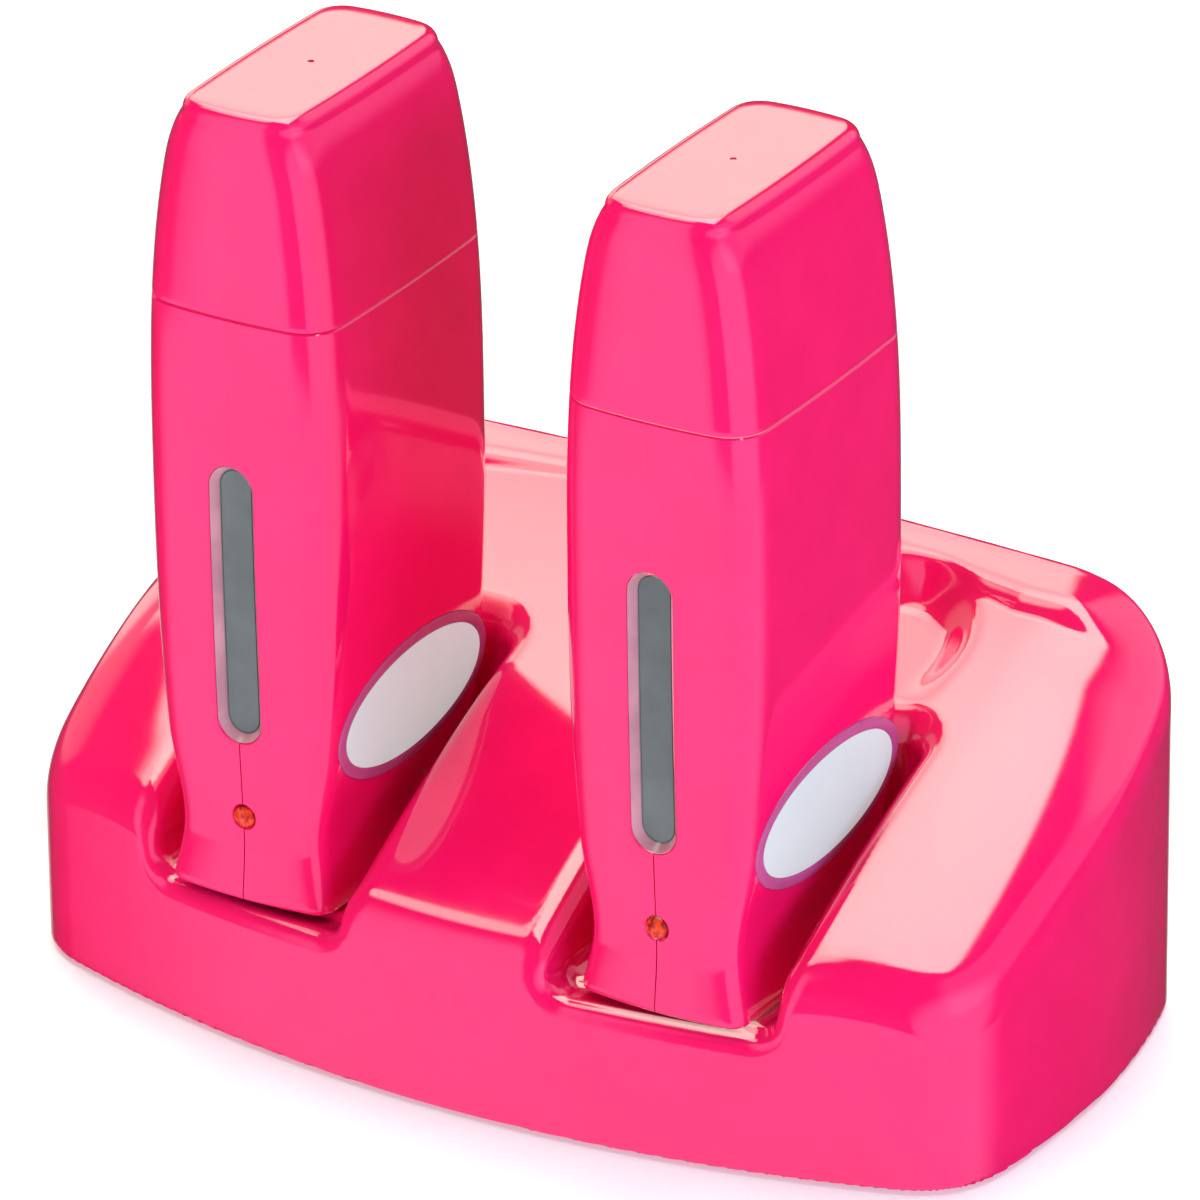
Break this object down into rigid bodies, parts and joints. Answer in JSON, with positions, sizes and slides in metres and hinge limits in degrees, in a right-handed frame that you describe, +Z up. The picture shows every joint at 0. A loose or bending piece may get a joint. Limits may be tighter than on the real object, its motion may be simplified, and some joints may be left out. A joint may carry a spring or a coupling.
{
  "type": "wax heater",
  "caption": "Roll-on wax heater: cartridge handsets with pull-off caps stand in the open-fronted slots of a wedge-shaped heating dock.",
  "frame": {"origin": "centre of the base's footprint, on the surface that its feet stand on", "axes": "+Z up, +X to the right along the base, -Y towards the user at the open front of the slots"},
  "size_m": [0.2676, 0.152, 0.24],
  "materials": {
    "pink_plastic": "high gloss moulded",
    "window_plastic": "smoked, smooth",
    "lamp_plastic": "clear red",
    "badge_silver": "satin silver",
    "badge_mauve": "satin",
    "black_plastic": "fine texture",
    "black_rubber": "matt",
    "aluminium": "die cast",
    "ceramic": "matt",
    "brass": "plated",
    "steel": "zinc plated",
    "board_green": "solder resist",
    "lead_grey": "smooth insulation"
  },
  "bodies": {
    "base": {"base_shell": "pink_plastic", "base_plate": "black_plastic", "front_left_rubber_foot": "black_rubber", "front_right_rubber_foot": "black_rubber", "rear_left_rubber_foot": "black_rubber", "rear_right_rubber_foot": "black_rubber", "front_left_base_screw": "steel", "front_right_base_screw": "steel", "rear_left_base_screw": "steel", "rear_right_base_screw": "steel", "left_dock_block": "pink_plastic", "left_dock_pin_1": "brass", "left_dock_pin_2": "brass", "left_dock_lead": "lead_grey", "right_dock_block": "pink_plastic", "right_dock_pin_1": "brass", "right_dock_pin_2": "brass", "right_dock_lead": "lead_grey", "mains_inlet": "black_plastic", "inlet_pin_1": "brass", "inlet_pin_2": "brass", "inlet_lead": "lead_grey", "terminal_block": "ceramic"},
    "handset_left": {"left_shell_left_half": "pink_plastic", "left_shell_right_half": "pink_plastic", "left_collar": "black_plastic", "left_heating_chamber": "aluminium", "left_heater_plate": "ceramic", "left_thermostat": "steel", "left_thermal_fuse": "brass", "left_level_window": "window_plastic", "left_indicator_lens": "lamp_plastic", "left_control_board": "board_green", "left_foot_plate": "black_plastic", "left_badge_face": "badge_silver", "left_badge_ring": "badge_mauve", "left_contact_pad_1": "brass", "left_contact_pad_2": "brass", "left_foot_screw_1": "steel", "left_foot_screw_2": "steel"},
    "handset_right": {"right_shell_left_half": "pink_plastic", "right_shell_right_half": "pink_plastic", "right_collar": "black_plastic", "right_heating_chamber": "aluminium", "right_heater_plate": "ceramic", "right_thermostat": "steel", "right_thermal_fuse": "brass", "right_level_window": "window_plastic", "right_indicator_lens": "lamp_plastic", "right_control_board": "board_green", "right_foot_plate": "black_plastic", "right_badge_face": "badge_silver", "right_badge_ring": "badge_mauve", "right_contact_pad_1": "brass", "right_contact_pad_2": "brass", "right_foot_screw_1": "steel", "right_foot_screw_2": "steel"},
    "cap_left": {"left_cap": "pink_plastic"},
    "cap_right": {"right_cap": "pink_plastic"}
  },
  "joints": [
    {"name": "left_handset_lift", "type": "slide", "parent": "base", "child": "handset_left", "axis": [0, 0, 1], "range_m": [0, 0.1]},
    {"name": "left_cap_pull", "type": "slide", "parent": "handset_left", "child": "cap_left", "axis": [0, 0, 1], "range_m": [0, 0.06]},
    {"name": "right_handset_lift", "type": "slide", "parent": "base", "child": "handset_right", "axis": [0, 0, 1], "range_m": [0, 0.1]},
    {"name": "right_cap_pull", "type": "slide", "parent": "handset_right", "child": "cap_right", "axis": [0, 0, 1], "range_m": [0, 0.06]}
  ]
}
